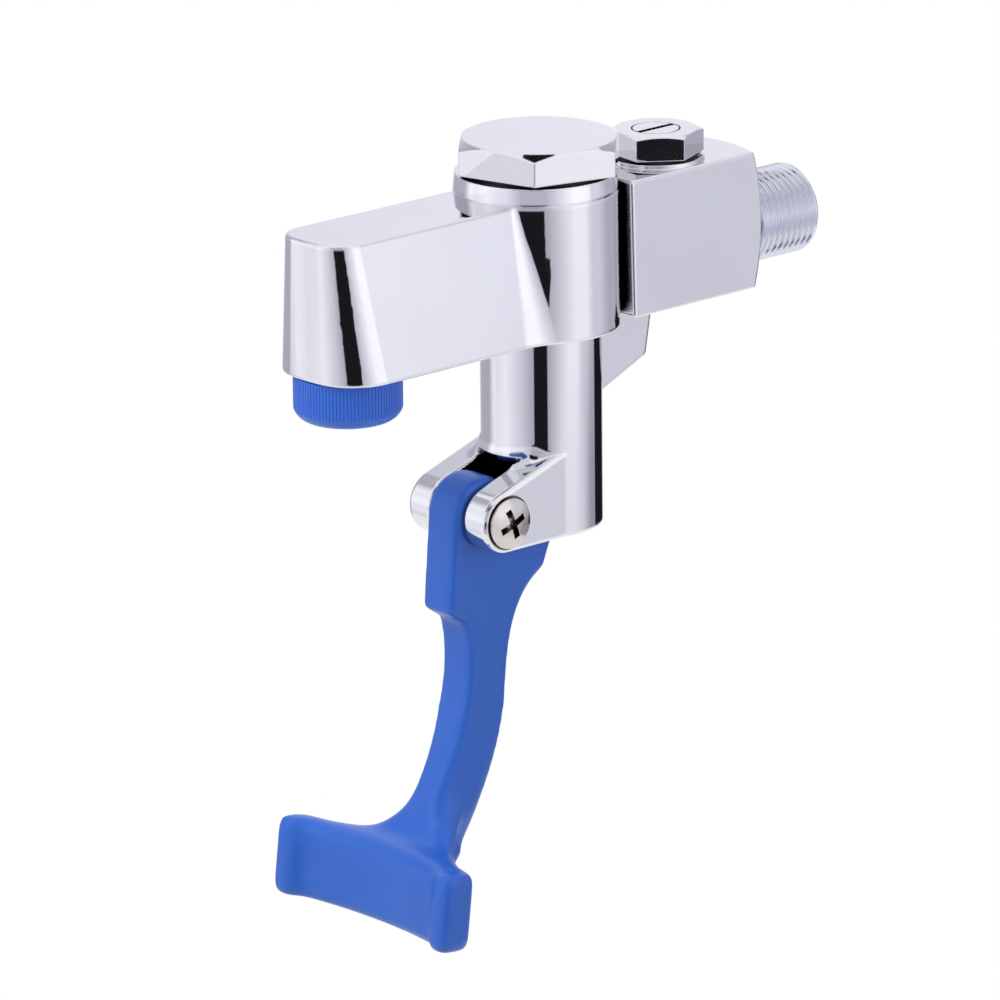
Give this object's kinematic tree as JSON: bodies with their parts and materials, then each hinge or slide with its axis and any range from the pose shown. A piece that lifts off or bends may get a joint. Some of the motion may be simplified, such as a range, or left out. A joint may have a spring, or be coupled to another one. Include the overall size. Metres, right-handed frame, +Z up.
{
  "type": "push-back glass filler",
  "caption": "Chromed tap with a flat spout, threaded inlet at the back, flow regulator and a hanging lever whose saddle pad is pushed back by a glass.",
  "frame": {"origin": "on the inlet thread's axis, where the thread leaves the rear face of the body", "axes": "+Z up, +Y along the inlet thread towards the supply, so the spout points to -Y; +X to the right seen from the spout's end looking to +Y"},
  "size_m": [0.06, 0.1486, 0.1762],
  "materials": {
    "chromed_casting": "polished chrome plate",
    "chromed_cap": "polished chrome plate",
    "chromed_nut": "polished chrome plate",
    "chromed_plug": "bright turned and plated",
    "chromed_pipe": "plated cut thread",
    "blue_lever_plastic": "moulded, semi gloss",
    "blue_ribbed_plastic": "moulded, semi gloss",
    "white_acetal": "moulded, matt",
    "seal_rubber": "matt",
    "polished_steel": "polished stainless steel",
    "steel_mesh": "etched sheet",
    "spring_steel": "drawn wire",
    "turned_brass": "turned"
  },
  "bodies": {
    "body": {"body_casting": "chromed_casting", "bonnet_cap": "chromed_cap", "bonnet_gasket": "seal_rubber", "regulator_nut": "chromed_nut", "regulator_gasket": "seal_rubber", "inlet_nipple": "chromed_pipe", "nipple_ring": "seal_rubber", "aerator_cap": "blue_ribbed_plastic", "aerator_gasket": "seal_rubber", "aerator_screen": "steel_mesh", "flow_straightener": "white_acetal", "lever_washers": "white_acetal", "pivot_screw": "polished_steel", "pivot_sleeve_nut": "polished_steel", "seat_insert": "turned_brass", "seat_ring": "seal_rubber", "guide_bush": "turned_brass", "stem_rings": "seal_rubber", "bush_ring": "seal_rubber", "bush_circlip": "spring_steel"},
    "stem": {"valve_stem": "turned_brass", "washer_holder": "turned_brass", "seat_washer": "seal_rubber", "washer_nut": "turned_brass", "stem_foot": "white_acetal", "return_spring": "spring_steel"},
    "lever": {"lever": "blue_lever_plastic", "lever_bush": "white_acetal"},
    "regulator": {"regulator_plug": "chromed_plug", "regulator_ring": "seal_rubber"}
  },
  "joints": [
    {"name": "lever_pivot", "type": "hinge", "parent": "body", "child": "lever", "pos_m": [0, -0.082, -0.0528], "axis": [1, 0, 0], "range_deg": [0, 10], "stiffness_Nm_per_rad": 1.5, "springref_deg": -8.59},
    {"name": "stem_lift", "type": "slide", "parent": "body", "child": "stem", "axis": [0, 0, 1], "range_m": [0, 0.004], "deforming": ["return_spring"]},
    {"name": "regulator_turn", "type": "hinge", "parent": "body", "child": "regulator", "pos_m": [0, -0.0242, 0], "axis": [0, 0, 1], "range_deg": [0, 90]}
  ],
  "couplings": [
    {"joint": "stem_lift", "follows": "lever_pivot", "m_per_rad": 0.0225}
  ]
}
